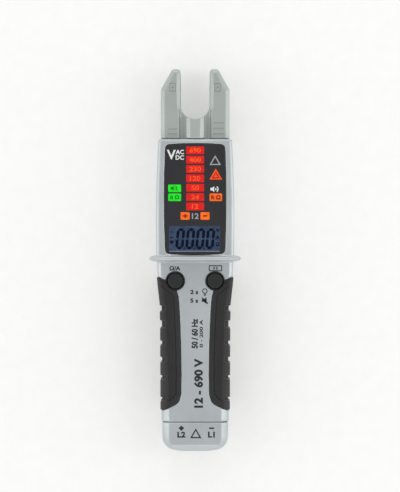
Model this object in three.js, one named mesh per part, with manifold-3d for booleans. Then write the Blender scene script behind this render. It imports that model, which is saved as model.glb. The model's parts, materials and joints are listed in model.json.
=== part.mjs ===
// An open-jaw electrical tester: a two-half plastic case with an open fork for clipping round a
// conductor, a display head, a hand guard, a handle with rubber grips and an end cap with two sockets.
// Units are millimetres. The tester lies on its back: +Z comes out of its face, +Y points to the fork,
// and the origin is on the resting plane, under the middle of its outline.
import * as THREE from 'three';
import { mergeVertices } from 'three/addons/utils/BufferGeometryUtils.js';
import Module from 'manifold-3d';

const wasm = await Module();
wasm.setup();

// ---------------------------------------------------------------- driving dimensions

const GAP = 0.3;              // clearance between pieces that touch on the real tester
const SPLIT_Z = 17;           // height of the joint between the front and rear case halves
const CORNER_STEPS = 5;       // facets in each rounded case corner
const HOLLOW_STEPS = 2;       // facets in each corner of the space inside it

const TIP_Y = 122.5;          // fork tips
const END_Y = -122.5;         // outer end of the end cap
const HEAD_TOP_Y = 77.5;      // shoulder between the display head and the fork
const WAIST_Y = 1.1;          // middle of the hand guard
const SEAM_Y = -103.3;        // joint between the handle and the end cap

const HEAD = { low: 0, high: 34, wall: 2.2, cornerLow: 4, cornerHigh: 2.4, endRound: 1.4 };
const HANDLE = { low: 0, high: 32, wall: 3.0, cornerLow: 5, crease: 0.65 };
// Half-width of the case at each distance along it.
const HEAD_HALF_WIDTHS = [[WAIST_Y, 24.8], [22, 25.1], [40, 25.0], [60, 24.4], [HEAD_TOP_Y, 23.6]];
const HANDLE_HALF_WIDTHS = [
  [SEAM_Y, 21.6], [-96, 21.7], [-45, 21.9], [-28, 22.2], [-16, 23.5], [-8, 24.3], [WAIST_Y, 24.3],
];
// Width of the rounded edge along the handle's face.
const HANDLE_EDGE_WIDTHS = [[SEAM_Y, 5], [-96, 5], [-45, 3.6], [-12, 2.4], [WAIST_Y, 2.4]];

const GUARD = { halfWidth: 29.7, high: 37.5, root: 4, tip: 3, crease: 0.6, cornerLow: 7, cornerHigh: 11 };

const CAP = {
  halfWidth: 21.2, endHalfWidth: 20.8, high: 32, wall: 2.2, edge: 4.4,
  endRoundWide: 9, endRoundHigh: 4.4, endCrease: 0.85, lip: 0.6,
};
const SOCKET = {
  spacing: 19, z: 16, bore: 4.0, tube: 4.8, sleeveBore: 5.4, sleeve: 6.8, well: 9.8, wellWall: 12.4,
};

const FORK = {
  low: 6, high: 31, halfWidth: 22, jawHalf: 9.3, jawArcY: 99.7, shoulderY: 109.3,
  tipOuter: 14.6, edge: 2.5, wall: 2, neckHalfWidth: 20, neckLow: 8.5, neckHigh: 28.5, neckY: 73.4,
};
const RIDGE = { baseHalf: 5.9, topHalf: 3.2, high: 33.6 };
const TRENCH = { floorX: 9.4, outerX: 10.5, depth: 2.2, topY: 97 };
// Raised marks on the fork's face: a framed dot on each prong and short ribs beside the ridge.
const MARK = { x: 14.4, y: 110.7, width: 4.4, height: 5.4, line: 0.5, dot: 0.7, rise: 0.3 };
const MARK_RIBS = [
  [-17.4, -11.4, 84], [-17.4, -11.4, 81], [11.4, 18.6, 88], [11.4, 18.6, 84.5], [11.4, 18.6, 81],
];

const WINDOW = { halfWidth: 19.6, bottomY: 3.6, topY: 74.5, bow: 0.7, corner: 3, thick: 1.8, ledge: 2 };
const BUTTON = {
  x: 12.7, y: -13.2, radius: 4.8, ringInner: 5.1, ringOuter: 5.9, ringDepth: 0.9, collar: 6.2, top: 34,
};

const GRIP = {
  proud: 0.6, rise: 1.2, bevel: 2.7, depth: 1.3, lineWidth: 0.8, lineDepth: 0.8,
  topY: -11, bottomY: -95.8, notchDepth: 1.2, notchReach: 3.2,
};
// Start and end of each notch along the grip's side.
const GRIP_NOTCHES = [
  [-29, -33], [-38.6, -43.6], [-51.6, -54.8], [-62, -65.8], [-73.8, -76.6], [-87.8, -90.6],
];
const REAR_GRIP = { innerX: 17.6, topY: -16, bottomY: -92 };

const BOARD = { low: 22, thick: 1.6, headHalf: 20.8, handleHalf: 17.2, topY: 72.4, waistY: 0, endY: -100 };
const BUZZER_Y = 30;
const SCREW_PLACES = [[19.4, 64], [18.9, -4.2], [15.6, -99.4]];
const SCREW = { head: 2.4, shank: 1.2, seatZ: 7, headThick: 1.8, tipZ: 23.5, boss: 3.0 };

const BAY = { halfWidth: 12, topY: -47, bottomY: -96.5, high: 14.2, wall: 1.5 };
const DOOR = { halfWidth: 13.6, topY: -44, bottomY: -102, low: 0.4, thick: 2, screwY: -99.4 };
const BATTERY = { x: 6, z: 8.6, radius: 5.1, length: 44 };

// ---------------------------------------------------------------- materials

function material(color, roughness, metalness = 0) {
  return new THREE.MeshStandardMaterial({ color, roughness, metalness });
}

const silverPlastic = material(0xabb1b3, 0.45);
const forkPlastic = material(0x9fa5a1, 0.6);
const gripRubber = material(0x37363a, 0.85);
const buttonRubber = material(0x323334, 0.7);
const blackPanel = material(0x1c1b20, 0.12);
const whitePlastic = material(0xe4e4df, 0.5);
const blackPlastic = material(0x1d1d1f, 0.6);
const lcdGlass = material(0x46506a, 0.1);
const boardGreen = material(0x1d5a36, 0.5);
const chipBlack = material(0x202022, 0.5);
const ferrite = material(0x3b3836, 0.7);
const copper = material(0xa8623a, 0.35, 1);
const brass = material(0xc2a057, 0.3, 1);
const steel = material(0xb9bbbd, 0.3, 1);
const redLed = material(0xd8261c, 0.3);
const greenLed = material(0x22cc2c, 0.3);
const amberLed = material(0xe56a22, 0.3);
const clearPlastic = material(0xe8ecec, 0.08);
const resistorBlue = material(0x4a7fa5, 0.5);
const batteryJacket = material(0x6f7378, 0.35);

// ---------------------------------------------------------------- solids

// A closed three.js geometry as a manifold-3d solid.
function solidOf(geometry) {
  const bare = geometry.clone();
  bare.deleteAttribute('normal');
  bare.deleteAttribute('uv');
  const merged = mergeVertices(bare, 1e-4);
  return new wasm.Manifold(new wasm.Mesh({
    numProp: 3,
    vertProperties: merged.attributes.position.array,
    triVerts: new Uint32Array(merged.index.array),
  }));
}

// A manifold-3d solid as a three.js geometry.
function geometryOf(solid) {
  const { vertProperties, triVerts } = solid.getMesh();
  const geometry = new THREE.BufferGeometry();
  geometry.setAttribute('position', new THREE.BufferAttribute(new Float32Array(vertProperties), 3));
  geometry.setIndex(new THREE.BufferAttribute(new Uint32Array(triVerts), 1));
  geometry.computeVertexNormals();
  return geometry;
}

function box(x0, x1, y0, y1, z0, z1) {
  const geometry = new THREE.BoxGeometry(x1 - x0, y1 - y0, z1 - z0);
  return solidOf(geometry.translate((x0 + x1) / 2, (y0 + y1) / 2, (z0 + z1) / 2));
}

function cylinderZ(x, y, z0, z1, radius, sides = 20) {
  const geometry = new THREE.CylinderGeometry(radius, radius, z1 - z0, sides);
  return solidOf(geometry.rotateX(Math.PI / 2).translate(x, y, (z0 + z1) / 2));
}

function cylinderY(x, z, y0, y1, radius, sides = 20) {
  const geometry = new THREE.CylinderGeometry(radius, radius, y1 - y0, sides);
  return solidOf(geometry.translate(x, (y0 + y1) / 2, z));
}

// A shape in the XY plane, made solid from z0 up to z1.
function prism(shape, z0, z1, curveSegments = 8) {
  const geometry = new THREE.ExtrudeGeometry(shape, { depth: z1 - z0, bevelEnabled: false, curveSegments });
  return solidOf(geometry.translate(0, 0, z0));
}

// A shape drawn in X and Z, made solid from y0 to y1.
function prismAlongY(shape, y0, y1, curveSegments = 8) {
  const geometry = new THREE.ExtrudeGeometry(shape, { depth: y1 - y0, bevelEnabled: false, curveSegments });
  return solidOf(geometry.rotateX(Math.PI / 2).translate(0, y1, 0));
}

function polygon(points) {
  return new THREE.Shape(points.map(([x, y]) => new THREE.Vector2(x, y)));
}

function mirrorX(solid) {
  return solid.mirror([1, 0, 0]);
}

function joined(solids) {
  return solids.reduce((all, next) => all.add(next));
}

function cutBy(solid, tools) {
  return tools.reduce((left, tool) => left.subtract(tool), solid);
}

// ---------------------------------------------------------------- lofts along the tester

// A rounded rectangle in X and Z, anticlockwise seen from -Y, with its own corner radius low and high.
// A crease of 0 leaves the high corners round, and a crease of 1 makes them flat chamfers.
function sectionRing({ halfWidth, low, high, cornerLow, cornerHigh, crease = 0 }, steps) {
  const corners = [
    { x: halfWidth - cornerLow, z: low + cornerLow, radius: cornerLow, start: -Math.PI / 2 },
    { x: halfWidth - cornerHigh, z: high - cornerHigh, radius: cornerHigh, start: 0 },
    { x: cornerHigh - halfWidth, z: high - cornerHigh, radius: cornerHigh, start: Math.PI / 2 },
    { x: cornerLow - halfWidth, z: low + cornerLow, radius: cornerLow, start: Math.PI },
  ];
  return corners.flatMap(({ x, z, radius, start }, corner) => {
    const arc = new THREE.ArcCurve(x, z, radius, start, start + Math.PI / 2, false).getPoints(steps);
    const flatness = corner === 1 || corner === 2 ? crease : 0;
    const [from, to] = [arc[0].clone(), arc[steps].clone()];
    return arc.map((point, i) => point.lerp(from.clone().lerp(to, i / steps), flatness));
  });
}

// A closed solid through rings of equal length, each at its own Y, in order of rising Y.
function loft(stations, steps = CORNER_STEPS) {
  const rings = stations.map((station) => sectionRing(station, steps));
  const count = rings[0].length;
  const positions = stations.flatMap(({ y }, i) => rings[i].flatMap((p) => [p.x, y, p.y]));
  const triangles = [];
  for (let i = 0; i + 1 < rings.length; i += 1) {
    for (let k = 0; k < count; k += 1) {
      const next = (k + 1) % count;
      const [a, b] = [i * count + k, i * count + next];
      const [d, c] = [a + count, b + count];
      triangles.push(a, d, c, a, c, b);
    }
  }
  const last = (rings.length - 1) * count;
  for (let k = 1; k + 1 < count; k += 1) {
    triangles.push(0, k, k + 1, last, last + k + 1, last + k);
  }
  const geometry = new THREE.BufferGeometry();
  geometry.setAttribute('position', new THREE.Float32BufferAttribute(positions, 3));
  geometry.setIndex(triangles);
  return solidOf(geometry);
}

// The points of a closed shape, without any that repeat.
function outlineOf(shape, divisions) {
  const points = shape.getPoints(divisions).filter((p, i, all) => i === 0 || p.distanceTo(all[i - 1]) > 0.01);
  return points[0].distanceTo(points[points.length - 1]) < 0.01 ? points.slice(0, -1) : points;
}

// A closed solid through shapes with equal numbers of points, each at its own Z, in rising order.
function layered(layers, divisions = 5) {
  const rings = layers.map(({ shape }) => {
    const points = outlineOf(shape, divisions);
    return THREE.ShapeUtils.isClockWise(points) ? points.reverse() : points;
  });
  const count = rings[0].length;
  const positions = layers.flatMap(({ z }, i) => rings[i].flatMap((p) => [p.x, p.y, z]));
  const triangles = [];
  for (let i = 0; i + 1 < rings.length; i += 1) {
    for (let k = 0; k < count; k += 1) {
      const next = (k + 1) % count;
      const [a, b] = [i * count + k, i * count + next];
      triangles.push(a, b, b + count, a, b + count, a + count);
    }
  }
  const last = (rings.length - 1) * count;
  THREE.ShapeUtils.triangulateShape(rings[0], []).forEach(([a, b, c]) => triangles.push(a, c, b));
  THREE.ShapeUtils.triangulateShape(rings[rings.length - 1], [])
    .forEach(([a, b, c]) => triangles.push(last + a, last + b, last + c));
  const geometry = new THREE.BufferGeometry();
  geometry.setAttribute('position', new THREE.Float32BufferAttribute(positions, 3));
  geometry.setIndex(triangles);
  return solidOf(geometry);
}

// The value at y of a law given as [y, value] points, straight between them.
function lawAt(points, y) {
  const ordered = [...points].sort((a, b) => a[0] - b[0]);
  if (y <= ordered[0][0]) return ordered[0][1];
  for (let i = 0; i + 1 < ordered.length; i += 1) {
    const [[y0, v0], [y1, v1]] = [ordered[i], ordered[i + 1]];
    if (y <= y1) return THREE.MathUtils.lerp(v0, v1, (y - y0) / (y1 - y0));
  }
  return ordered[ordered.length - 1][1];
}

// How far a round end of that radius draws in, at a distance from the end. A crease of 1 makes it a
// flat chamfer.
function endInset(distance, radius, crease = 0) {
  const reach = Math.min(Math.max(radius - distance, 0), radius);
  return THREE.MathUtils.lerp(radius - Math.sqrt(radius * radius - reach * reach), reach, crease);
}

const ROUND_STEPS = [0, 0.2, 0.55, 1];

// The display head, grown outwards by that much. It runs into the hand guard at its lower end.
function headBlock(grow) {
  const top = HEAD_TOP_Y + grow;
  const ys = [WAIST_Y - 1, 22, 40, 60, ...ROUND_STEPS.map((s) => top - s * HEAD.endRound).reverse()];
  return loft(ys.map((y) => {
    const inset = endInset(top - y, HEAD.endRound);
    return {
      y,
      halfWidth: lawAt(HEAD_HALF_WIDTHS, y) + grow - inset,
      low: HEAD.low - grow + inset,
      high: HEAD.high + grow - inset,
      cornerLow: Math.max(HEAD.cornerLow + grow, 0.6),
      cornerHigh: Math.max(HEAD.cornerHigh + grow, 0.4),
    };
  }), grow < 0 ? HOLLOW_STEPS : CORNER_STEPS);
}

// The handle, grown outwards by that much, and by its own amount on its face. Its ends stay where they
// are unless they are given.
function handleBlock(grow, y0 = SEAM_Y, y1 = WAIST_Y + 1, rise = grow) {
  const inner = [-96, -70, -45, -28, -16, -8].filter((y) => y > y0 + 1 && y < y1 - 1);
  return loft([y0, ...inner, y1].map((y) => ({
    y,
    halfWidth: lawAt(HANDLE_HALF_WIDTHS, y) + grow,
    low: HANDLE.low - grow,
    high: HANDLE.high + rise,
    cornerLow: Math.max(HANDLE.cornerLow + grow, 0.6),
    cornerHigh: Math.max(lawAt(HANDLE_EDGE_WIDTHS, y) + grow, 0.4),
    crease: HANDLE.crease,
  })));
}

// The hand guard: a flange round the waist with a round rim, thicker at its root, flush at the back.
function guardBlock() {
  const rootHalf = HEAD_HALF_WIDTHS[0][1];
  const root = { away: GUARD.root / 2, halfWidth: rootHalf - 0.2, high: HEAD.high - 0.3 };
  const crest = [1, 0.7, 0.35, 0.06].map((reach) => {
    const drop = endInset(GUARD.tip / 2 * (1 - reach), GUARD.tip / 2, GUARD.crease);
    return { away: GUARD.tip / 2 * reach, halfWidth: GUARD.halfWidth - drop, high: GUARD.high - drop };
  });
  const half = [root, ...crest];
  const sections = [
    ...half.map((section) => ({ ...section, y: WAIST_Y - section.away })),
    ...half.map((section) => ({ ...section, y: WAIST_Y + section.away })).reverse(),
  ];
  const { cornerLow, cornerHigh } = GUARD;
  return loft(sections.map((section) => ({ ...section, low: 0, cornerLow, cornerHigh })));
}

// Everything above or below the joint between the case halves, less half the gap.
const SPAN = 200;
const upperSpace = box(-SPAN, SPAN, -SPAN, SPAN, SPLIT_Z + GAP / 2, SPAN);
const lowerSpace = box(-SPAN, SPAN, -SPAN, SPAN, -SPAN, SPLIT_Z - GAP / 2);

// ---------------------------------------------------------------- outlines on the face

// The display window: nearly a rectangle, with bowed edges and round corners.
function windowShape(grow) {
  const [w, c] = [WINDOW.halfWidth + grow, WINDOW.corner + grow];
  const [y0, y1] = [WINDOW.bottomY - grow, WINDOW.topY + grow];
  const [bow, middle] = [WINDOW.bow, (y0 + y1) / 2];
  const shape = new THREE.Shape();
  shape.moveTo(-w + bow + c, y0 + bow);
  shape.quadraticCurveTo(0, y0 - bow, w - bow - c, y0 + bow);
  shape.quadraticCurveTo(w - bow, y0 + bow, w - bow, y0 + bow + c);
  shape.quadraticCurveTo(w + bow, middle, w - bow, y1 - bow - c);
  shape.quadraticCurveTo(w - bow, y1 - bow, w - bow - c, y1 - bow);
  shape.quadraticCurveTo(0, y1 + bow, -w + bow + c, y1 - bow);
  shape.quadraticCurveTo(-w + bow, y1 - bow, -w + bow, y1 - bow - c);
  shape.quadraticCurveTo(-w - bow, middle, -w + bow, y0 + bow + c);
  shape.quadraticCurveTo(-w + bow, y0 + bow, -w + bow + c, y0 + bow);
  return shape;
}

// The left front grip seen on the face: its inner edge is a long curve, and it runs off the side.
function gripShape(grow) {
  const outer = -GUARD.halfWidth;
  const shape = new THREE.Shape();
  shape.moveTo(outer, GRIP.topY + 2.4 + grow);
  shape.lineTo(-24, GRIP.topY + grow);
  shape.lineTo(-18.4 + grow, -13.2 + grow);
  shape.lineTo(-12.6 + grow, -18.2 + grow);
  shape.splineThru([[-11, -23.5], [-10.2, -34], [-9.5, -51], [-9.1, -70], [-9.2, -85]]
    .map(([x, y]) => new THREE.Vector2(x + grow, y)));
  shape.splineThru([[-10.8, -90.4], [-15, -93.4], [-21, GRIP.bottomY]]
    .map(([x, y]) => new THREE.Vector2(x + grow, y - grow)));
  shape.lineTo(outer, GRIP.bottomY - 1.5 - grow);
  shape.closePath();
  return shape;
}

// ---------------------------------------------------------------- grips

// Cuts the notches into the side of a left grip. They stop short of its face.
function notched(grip) {
  const tools = GRIP_NOTCHES.map(([y1, y0]) => {
    const halfWidth = lawAt(HANDLE_HALF_WIDTHS, (y0 + y1) / 2);
    const inner = GRIP.notchReach - halfWidth;
    const slot = polygon([[-40, y1], [inner, y1], [inner, y0 + 1.2], [-halfWidth, y0], [-40, y0]]);
    return prism(slot, -5, 40).subtract(handleBlock(GRIP.proud - GRIP.notchDepth));
  });
  return cutBy(grip, tools);
}

// The left front grip with the sunken rubber ring that frames its button, and a groove along the foot
// of its bevel.
function frontGrip() {
  const body = layered([
    { shape: gripShape(0), z: SPLIT_Z + GAP },
    { shape: gripShape(0), z: HANDLE.high },
    { shape: gripShape(-GRIP.bevel), z: HANDLE.high + GRIP.rise },
  ], 3);
  const pad = body
    .intersect(handleBlock(GRIP.proud, SEAM_Y, WAIST_Y, GRIP.rise))
    .subtract(handleBlock(-GRIP.depth));
  const lineFloor = HANDLE.high + GRIP.rise - GRIP.lineDepth;
  const line = prism(gripShape(-GRIP.bevel), lineFloor, 45, 3)
    .subtract(prism(gripShape(-GRIP.bevel - GRIP.lineWidth), lineFloor - 1, 46, 3));
  const seat = HANDLE.high - GRIP.depth;
  const ringTop = HANDLE.high - BUTTON.ringDepth;
  const groove = cylinderZ(-BUTTON.x, BUTTON.y, ringTop, 45, BUTTON.ringOuter, 22);
  const disc = cylinderZ(-BUTTON.x, BUTTON.y, seat, ringTop, BUTTON.ringOuter, 22);
  const hole = cylinderZ(-BUTTON.x, BUTTON.y, seat - 5, 45, BUTTON.ringInner, 22);
  return notched(pad).subtract(line).subtract(groove).add(disc).subtract(hole);
}

// The left rear grip: it covers the lower side of the handle and a strip of its back.
function rearGrip() {
  const { innerX, topY, bottomY } = REAR_GRIP;
  const outline = polygon([
    [-40, topY + 3], [-24, topY + 3], [-innerX - 1.5, topY], [-innerX, topY - 3],
    [-innerX, bottomY + 4], [-innerX - 1.5, bottomY + 1.5], [-24, bottomY - 2], [-40, bottomY - 2],
  ]);
  const pad = prism(outline, -5, SPLIT_Z - GAP)
    .intersect(handleBlock(GRIP.proud))
    .intersect(box(-SPAN, SPAN, -SPAN, SPAN, 0.3, SPAN))
    .subtract(handleBlock(-GRIP.depth));
  return notched(pad);
}

// The space the left grips need in the case, with a gap all round.
function gripRecess() {
  const front = prism(gripShape(GAP), SPLIT_Z, 45, 3)
    .add(cylinderZ(-BUTTON.x, BUTTON.y, SPLIT_Z, 45, BUTTON.ringOuter + GAP, 22))
    .subtract(handleBlock(-GRIP.depth - GAP));
  const { innerX, topY, bottomY } = REAR_GRIP;
  const outline = polygon([
    [-40, topY + 3 + GAP], [-24, topY + 3 + GAP],
    [-innerX - 1.5 + GAP, topY + GAP], [-innerX + GAP, topY - 3],
    [-innerX + GAP, bottomY + 4], [-innerX - 1.5 + GAP, bottomY + 1.5 - GAP],
    [-24, bottomY - 2 - GAP], [-40, bottomY - 2 - GAP],
  ]);
  const rear = prism(outline, -5, SPLIT_Z).subtract(handleBlock(-GRIP.depth - GAP));
  return front.add(rear);
}

// ---------------------------------------------------------------- case halves

function screwPlaces() {
  return SCREW_PLACES.flatMap(([x, y]) => [[-x, y], [x, y]]);
}

// The outside of the head, guard and handle as one block, with the grip recesses cut in.
function caseBlock() {
  const recess = gripRecess();
  const block = joined([headBlock(0), guardBlock(), handleBlock(0)]);
  return cutBy(block, [recess, mirrorX(recess)]);
}

// The hollow inside the case: it is open to the fork's neck and to the end cap.
function caseHollow() {
  const neck = box(
    -FORK.neckHalfWidth - GAP, FORK.neckHalfWidth + GAP,
    FORK.neckY - 1, HEAD_TOP_Y + 5,
    FORK.neckLow - GAP, FORK.neckHigh + GAP,
  );
  return joined([headBlock(-HEAD.wall), handleBlock(-HANDLE.wall, SEAM_Y - 5), neck]);
}

const caseOutside = caseBlock();
const caseInside = caseHollow();

function frontShell() {
  const windowSeat = windowBottom - GAP;
  const bosses = screwPlaces().map(([x, y]) => cylinderZ(x, y, SPLIT_Z, HEAD.high - 0.5, SCREW.boss, 12));
  const shell = joined([caseOutside.subtract(caseInside), ...bosses])
    .intersect(caseOutside)
    .intersect(upperSpace);
  const pilots = screwPlaces().map(([x, y]) => cylinderZ(x, y, 0, SCREW.tipZ + 0.8, SCREW.shank + GAP, 10));
  const holeRadius = BUTTON.ringInner + 0.2;
  const buttonHoles = [-BUTTON.x, BUTTON.x].map((x) => cylinderZ(x, BUTTON.y, SPLIT_Z, 45, holeRadius, 22));
  return cutBy(shell, [
    prism(windowShape(GAP), windowSeat, 45),
    prism(windowShape(-WINDOW.ledge), SPLIT_Z + 8, 45),
    ...buttonHoles,
    ...pilots,
  ]);
}

function batteryBayBlock() {
  const { halfWidth, topY, bottomY, high, wall } = BAY;
  return box(-halfWidth - wall, halfWidth + wall, bottomY - wall, topY + wall, 1, high + wall);
}

function rearShell() {
  const { halfWidth, topY, bottomY, high } = BAY;
  const bosses = screwPlaces().map(([x, y]) => cylinderZ(x, y, 1, SPLIT_Z, SCREW.boss + 0.3, 12));
  const ledge = box(-DOOR.halfWidth - 1.5, DOOR.halfWidth + 1.5, DOOR.bottomY - 1, BAY.bottomY - 0.5, 1, 6.4);
  const shell = joined([caseOutside.subtract(caseInside), batteryBayBlock(), ledge, ...bosses])
    .intersect(caseOutside)
    .intersect(lowerSpace);
  const wells = screwPlaces().map(([x, y]) => cylinderZ(x, y, -1, SCREW.seatZ, SCREW.head + 0.4, 16));
  const pilots = screwPlaces().map(([x, y]) => cylinderZ(x, y, -1, 30, SCREW.shank + GAP, 10));
  const doorTop = DOOR.low + DOOR.thick;
  const tongueRoom = box(-8.5, 8.5, BAY.topY - 0.5, DOOR.topY + 3.6, 2.2, 5.4);
  const soundHoles = [-6, -3, 0, 3, 6].map((x) => cylinderZ(x, BUZZER_Y, -1, 6, 0.8, 10));
  return cutBy(shell, [
    box(-halfWidth, halfWidth, bottomY, topY, -1, high),
    box(-DOOR.halfWidth - GAP, DOOR.halfWidth + GAP, DOOR.bottomY - GAP, DOOR.topY + GAP, -1, doorTop + GAP),
    tongueRoom,
    cylinderZ(0, DOOR.screwY, -1, 5.8, 1.25 + GAP + 0.15),
    ...wells,
    ...pilots,
    ...soundHoles,
  ]);
}

// ---------------------------------------------------------------- end cap with its sockets

function capBlock(grow, y1 = SEAM_Y - GAP) {
  const end = END_Y - grow;
  const rounds = ROUND_STEPS.map((s) => end + s * CAP.endRoundHigh);
  const ys = [...rounds, end + 7, end + CAP.endRoundWide, y1 - CAP.lip, y1];
  return loft(ys.map((y) => {
    const lip = Math.max(CAP.lip - (y1 - y), 0);
    const insetHigh = endInset(y - end, CAP.endRoundHigh, CAP.endCrease) + lip;
    const insetWide = endInset(y - end, CAP.endRoundWide) + lip;
    const halfWidth = THREE.MathUtils.mapLinear(y, END_Y, SEAM_Y, CAP.endHalfWidth, CAP.halfWidth);
    return {
      y,
      halfWidth: halfWidth + grow - insetWide,
      low: -grow + insetHigh,
      high: CAP.high + grow - insetHigh,
      cornerLow: Math.max(HANDLE.cornerLow + grow, 0.6),
      cornerHigh: Math.max(CAP.edge + grow, 0.6),
      crease: HANDLE.crease,
    };
  }));
}

const socketPlaces = [-SOCKET.spacing / 2, SOCKET.spacing / 2];

function endCap() {
  const wellFloorY = SEAM_Y - 1.5;
  const collarY = SEAM_Y + 2.8;
  const collar = handleBlock(-HANDLE.wall - GAP, SEAM_Y - 3, collarY)
    .subtract(handleBlock(-HANDLE.wall - GAP - 1.6, SEAM_Y - 6, collarY + 1));
  const collarRoot = capBlock(-1)
    .intersect(box(-SPAN, SPAN, SEAM_Y - 3, SEAM_Y, 0, 50))
    .subtract(handleBlock(-HANDLE.wall - GAP - 1.6, SEAM_Y - 6, collarY + 1));
  const shell = joined([capBlock(0).subtract(capBlock(-CAP.wall, SEAM_Y + 1)), collar, collarRoot]);
  const tubeRadius = SOCKET.wellWall / 2;
  const tubes = socketPlaces.map((x) => cylinderY(x, SOCKET.z, END_Y + 0.6, wellFloorY + 2, tubeRadius, 22));
  const screwRoom = screwPlaces().map(([x, y]) => cylinderZ(x, y, -1, 40, SCREW.boss + 0.7));
  const ledgeRoom = box(-DOOR.halfWidth - 2, DOOR.halfWidth + 2, SEAM_Y - 0.2, collarY + 2, -1, 6.8);
  const wells = socketPlaces.map((x) => cylinderY(x, SOCKET.z, END_Y - 1, wellFloorY, SOCKET.well / 2, 22)
    .subtract(cylinderY(x, SOCKET.z, END_Y + 1, wellFloorY + 1, SOCKET.sleeve / 2, 24)));
  const boreRadius = SOCKET.sleeveBore / 2;
  const bores = socketPlaces.map((x) => cylinderY(x, SOCKET.z, END_Y - 2, wellFloorY + 6, boreRadius, 24));
  return cutBy(joined([shell, ...tubes]), [...wells, ...bores, ...screwRoom, ledgeRoom]);
}

// A brass socket tube with a tail that reaches up to the circuit board.
function socket(x) {
  const y0 = END_Y + 2;
  const y1 = SEAM_Y + 3;
  const tail = box(x - 1.2, x + 1.2, y1 - 1, y1 + 2.4, SOCKET.z + 1, BOARD.low - GAP);
  return cylinderY(x, SOCKET.z, y0, y1, SOCKET.tube / 2, 24)
    .add(tail)
    .subtract(cylinderY(x, SOCKET.z, y0 - 1, y1 - 1.4, SOCKET.bore / 2, 24));
}

// ---------------------------------------------------------------- fork

// The fork seen on the face, drawn in by that much all round its open end.
function forkShape(inset) {
  const [w, jaw] = [FORK.halfWidth - inset, FORK.jawHalf + inset];
  const [tip, outer] = [TIP_Y - inset, FORK.tipOuter - 0.5 * inset];
  const round = 1 - inset / 3;
  const shoulder = FORK.shoulderY - 0.4 * inset;
  const base = HEAD_TOP_Y + GAP;
  const shape = new THREE.Shape();
  shape.moveTo(-w, base);
  shape.lineTo(w, base);
  shape.lineTo(w, shoulder);
  shape.lineTo(outer + 0.9 * round, tip - 1.6 * round);
  shape.quadraticCurveTo(outer, tip, outer - round, tip);
  shape.lineTo(jaw + 2.1 * round, tip);
  shape.quadraticCurveTo(jaw, tip, jaw, tip - 3 * round);
  shape.lineTo(jaw, FORK.jawArcY);
  shape.absarc(0, FORK.jawArcY, jaw, 0, -Math.PI, true);
  shape.lineTo(-jaw, tip - 3 * round);
  shape.quadraticCurveTo(-jaw, tip, -jaw - 2.1 * round, tip);
  shape.lineTo(-outer + round, tip);
  shape.quadraticCurveTo(-outer, tip, -outer - 0.9 * round, tip - 1.6 * round);
  shape.lineTo(-w, shoulder);
  shape.closePath();
  return shape;
}

// The raised marks on the fork's face.
function forkMarks() {
  const [z0, z1] = [FORK.high - 0.2, FORK.high + MARK.rise];
  const [halfX, halfY] = [MARK.width / 2, MARK.height / 2];
  const [insideX, insideY] = [halfX - MARK.line, halfY - MARK.line];
  const [y0, y1] = [MARK.y - halfY, MARK.y + halfY];
  const frames = [-MARK.x, MARK.x].map((x) => box(x - halfX, x + halfX, y0, y1, z0, z1)
    .subtract(box(x - insideX, x + insideX, MARK.y - insideY, MARK.y + insideY, z0 - 1, z1 + 1))
    .add(cylinderZ(x, MARK.y, z0, z1, MARK.dot, 12)));
  const ribs = MARK_RIBS.map(([x0, x1, y]) => box(x0, x1, y - MARK.line / 2, y + MARK.line / 2, z0, z1));
  return [...frames, ...ribs];
}

// The fork's outside, with chamfered edges, a ridge below the jaw and the neck that enters the head.
function forkBlock() {
  const { low, high, edge } = FORK;
  const fork = layered([
    { shape: forkShape(edge), z: low },
    { shape: forkShape(0), z: low + edge },
    { shape: forkShape(0), z: high - edge * 0.7 },
    { shape: forkShape(edge), z: high },
  ], 6);
  const baseY = HEAD_TOP_Y + GAP;
  const base = box(-FORK.halfWidth, FORK.halfWidth, baseY, baseY + edge, low + edge, high - edge);
  const side = polygon([
    [RIDGE.baseHalf, high - TRENCH.depth], [TRENCH.floorX, high - TRENCH.depth],
    [TRENCH.outerX, high], [TRENCH.outerX, high + 4], [RIDGE.baseHalf, high + 4],
  ]);
  const trench = prismAlongY(side, HEAD_TOP_Y - 1, TRENCH.topY);
  const { neckHalfWidth, neckY, neckLow, neckHigh } = FORK;
  const neck = box(-neckHalfWidth, neckHalfWidth, neckY, HEAD_TOP_Y + 4, neckLow, neckHigh);
  const ridgeSide = polygon([
    [-RIDGE.baseHalf, 20], [RIDGE.baseHalf, 20], [RIDGE.baseHalf, 31.5],
    [RIDGE.topHalf, RIDGE.high], [-RIDGE.topHalf, RIDGE.high], [-RIDGE.baseHalf, 31.5],
  ]);
  const ridge = prismAlongY(ridgeSide, baseY, FORK.jawArcY)
    .subtract(cylinderZ(0, FORK.jawArcY, 0, 50, FORK.jawHalf, 32));
  return joined([cutBy(fork.add(base), [trench, mirrorX(trench)]), neck, ridge, ...forkMarks()]);
}

function forkHollow() {
  const { low, high, wall } = FORK;
  const prongs = prism(forkShape(wall), low + wall, high - wall - TRENCH.depth, 5)
    .intersect(box(-SPAN, SPAN, HEAD_TOP_Y + 2.5, 115, 0, 50));
  const neck = box(
    -FORK.neckHalfWidth + wall, FORK.neckHalfWidth - wall,
    FORK.neckY - 1, HEAD_TOP_Y + 3,
    FORK.neckLow + wall, FORK.neckHigh - wall,
  );
  const torchRoom = box(-3.4, 3.4, HEAD_TOP_Y + 2, 88, 20, 31.4);
  const lensHole = cylinderY(0, 27.6, 84, 95, 2.2 + GAP, 20);
  return joined([prongs, neck, torchRoom, lensHole]);
}

const forkCase = forkBlock().subtract(forkHollow());

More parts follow.
